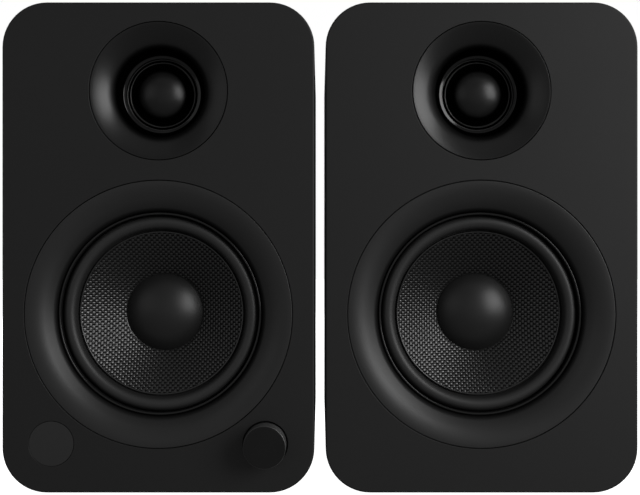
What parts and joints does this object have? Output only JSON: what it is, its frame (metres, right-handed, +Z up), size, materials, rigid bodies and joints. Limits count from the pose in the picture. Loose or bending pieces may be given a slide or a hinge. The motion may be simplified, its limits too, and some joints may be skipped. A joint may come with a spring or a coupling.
{
  "type": "desktop speakers",
  "caption": "Pair of small powered two-way desktop speakers with a volume knob, a sensor window and rear sockets.",
  "frame": {"origin": "on the plane the feet stand on, midway between the two speakers and midway between the knob's face and the ends of the binding posts", "axes": "+X to the right seen from the front, +Y from the baffles to the backs, +Z up"},
  "size_m": [0.285, 0.2196, 0.222],
  "materials": {
    "cabinet_finish": "matte black fine-grained wrap over fibreboard",
    "trim_plastic": "satin black moulded plastic",
    "waveguide_plastic": "satin black moulded plastic",
    "black_plastic": "moulded black plastic",
    "window_plastic": "smoked infrared-clear plastic",
    "cap_plastic": "satin black pressed cap",
    "woven_cone": "black woven glass-fibre cone",
    "surround_rubber": "satin black rubber",
    "rubber": "black rubber",
    "dome_silk": "black treated silk",
    "spider_cloth": "resin-dipped cloth",
    "wadding": "white polyester wadding",
    "basket_paint": "black painted pressed steel",
    "plate_paint": "black anodised sheet",
    "knob_metal": "black anodised, fine satin",
    "plated_steel": "zinc-plated steel",
    "core_steel": "varnished laminations",
    "black_screw": "blackened steel",
    "ferrite": "sintered ferrite",
    "motor_black": "black plated steel",
    "copper": "enamelled copper wire on a former",
    "gilt_brass": "gold-plated brass",
    "circuit_board": "glass-epoxy board with parts",
    "lead_insulation": "red and black insulation",
    "red_plastic": "red moulded nut",
    "black_gloss": "black moulded plastic",
    "jack_plastic": "black housing with plated barrels"
  },
  "bodies": {
    "active_speaker": {"active_cabinet": "cabinet_finish", "active_back_panel": "cabinet_finish", "active_screws": "black_screw", "active_feet": "rubber", "active_port_tube": "black_plastic", "active_damping_pad": "wadding", "active_trim_ring": "trim_plastic", "active_woofer_basket": "basket_paint", "active_woofer_surround": "surround_rubber", "active_woofer_spider": "spider_cloth", "active_woofer_top_plate": "plated_steel", "active_woofer_magnet": "ferrite", "active_woofer_yoke": "plated_steel", "active_waveguide": "waveguide_plastic", "active_tweeter_motor": "motor_black", "active_leads": "lead_insulation", "active_post_bases": "gilt_brass", "control_board": "circuit_board", "ir_window": "window_plastic", "amp_plate": "plate_paint", "amp_board": "circuit_board", "transformer": "core_steel", "power_switch_frame": "black_plastic", "ac_inlet": "black_plastic", "input_jacks": "jack_plastic"},
    "passive_speaker": {"passive_cabinet": "cabinet_finish", "passive_back_panel": "cabinet_finish", "passive_screws": "black_screw", "passive_feet": "rubber", "passive_port_tube": "black_plastic", "passive_damping_pad": "wadding", "passive_trim_ring": "trim_plastic", "passive_woofer_basket": "basket_paint", "passive_woofer_surround": "surround_rubber", "passive_woofer_spider": "spider_cloth", "passive_woofer_top_plate": "plated_steel", "passive_woofer_magnet": "ferrite", "passive_woofer_yoke": "plated_steel", "passive_waveguide": "waveguide_plastic", "passive_tweeter_motor": "motor_black", "passive_leads": "lead_insulation", "passive_post_bases": "gilt_brass", "terminal_cup": "black_plastic", "crossover_board": "circuit_board"},
    "active_woofer_cone": {"active_woofer_cone": "woven_cone", "active_dust_cap": "cap_plastic", "active_voice_coil": "copper"},
    "active_tweeter_dome": {"active_tweeter_dome": "dome_silk"},
    "active_post_cap_red": {"active_post_cap_red": "red_plastic"},
    "active_post_cap_black": {"active_post_cap_black": "black_gloss"},
    "passive_woofer_cone": {"passive_woofer_cone": "woven_cone", "passive_dust_cap": "cap_plastic", "passive_voice_coil": "copper"},
    "passive_tweeter_dome": {"passive_tweeter_dome": "dome_silk"},
    "passive_post_cap_red": {"passive_post_cap_red": "red_plastic"},
    "passive_post_cap_black": {"passive_post_cap_black": "black_gloss"},
    "volume_rotor": {"encoder_rotor": "black_plastic"},
    "volume_knob": {"volume_knob": "knob_metal", "encoder_shaft": "plated_steel"},
    "power_rocker": {"power_rocker": "black_gloss"}
  },
  "joints": [
    {"name": "passive_placement", "type": "slide", "parent": "active_speaker", "child": "passive_speaker", "axis": [1, 0, 0], "range_m": [0, 0.6]},
    {"name": "active_woofer_travel", "type": "slide", "parent": "active_speaker", "child": "active_woofer_cone", "axis": [0, -1, 0], "range_m": [-0.003, 0.003], "stiffness_N_per_m": 1000, "deforming": ["active_woofer_surround", "active_woofer_spider"]},
    {"name": "active_tweeter_travel", "type": "slide", "parent": "active_speaker", "child": "active_tweeter_dome", "axis": [0, -1, 0], "range_m": [-0.0003, 0.0003], "stiffness_N_per_m": 1500},
    {"name": "active_red_cap_turn", "type": "hinge", "parent": "active_speaker", "child": "active_post_cap_red", "pos_m": [-0.11, 0.09175, 0.118], "axis": [0, 1, 0], "range_deg": [0, 1080]},
    {"name": "active_black_cap_turn", "type": "hinge", "parent": "active_speaker", "child": "active_post_cap_black", "pos_m": [-0.091, 0.09175, 0.118], "axis": [0, 1, 0], "range_deg": [0, 1080]},
    {"name": "passive_woofer_travel", "type": "slide", "parent": "passive_speaker", "child": "passive_woofer_cone", "axis": [0, -1, 0], "range_m": [-0.003, 0.003], "stiffness_N_per_m": 1000, "deforming": ["passive_woofer_surround", "passive_woofer_spider"]},
    {"name": "passive_tweeter_travel", "type": "slide", "parent": "passive_speaker", "child": "passive_tweeter_dome", "axis": [0, -1, 0], "range_m": [-0.0003, 0.0003], "stiffness_N_per_m": 1500},
    {"name": "passive_red_cap_turn", "type": "hinge", "parent": "passive_speaker", "child": "passive_post_cap_red", "pos_m": [0.063, 0.09175, 0.078], "axis": [0, 1, 0], "range_deg": [0, 1080]},
    {"name": "passive_black_cap_turn", "type": "hinge", "parent": "passive_speaker", "child": "passive_post_cap_black", "pos_m": [0.082, 0.09175, 0.078], "axis": [0, 1, 0], "range_deg": [0, 1080]},
    {"name": "volume_turn", "type": "hinge", "parent": "active_speaker", "child": "volume_rotor", "pos_m": [-0.0245, -0.08425, 0.024], "axis": [0, -1, 0], "continuous": true},
    {"name": "volume_press", "type": "slide", "parent": "volume_rotor", "child": "volume_knob", "axis": [0, 1, 0], "range_m": [0, 0.0005], "stiffness_N_per_m": 4000},
    {"name": "power_switch", "type": "hinge", "parent": "active_speaker", "child": "power_rocker", "pos_m": [-0.0465, 0.09115, 0.036], "axis": [-1, 0, 0], "range_deg": [0, 24]}
  ]
}
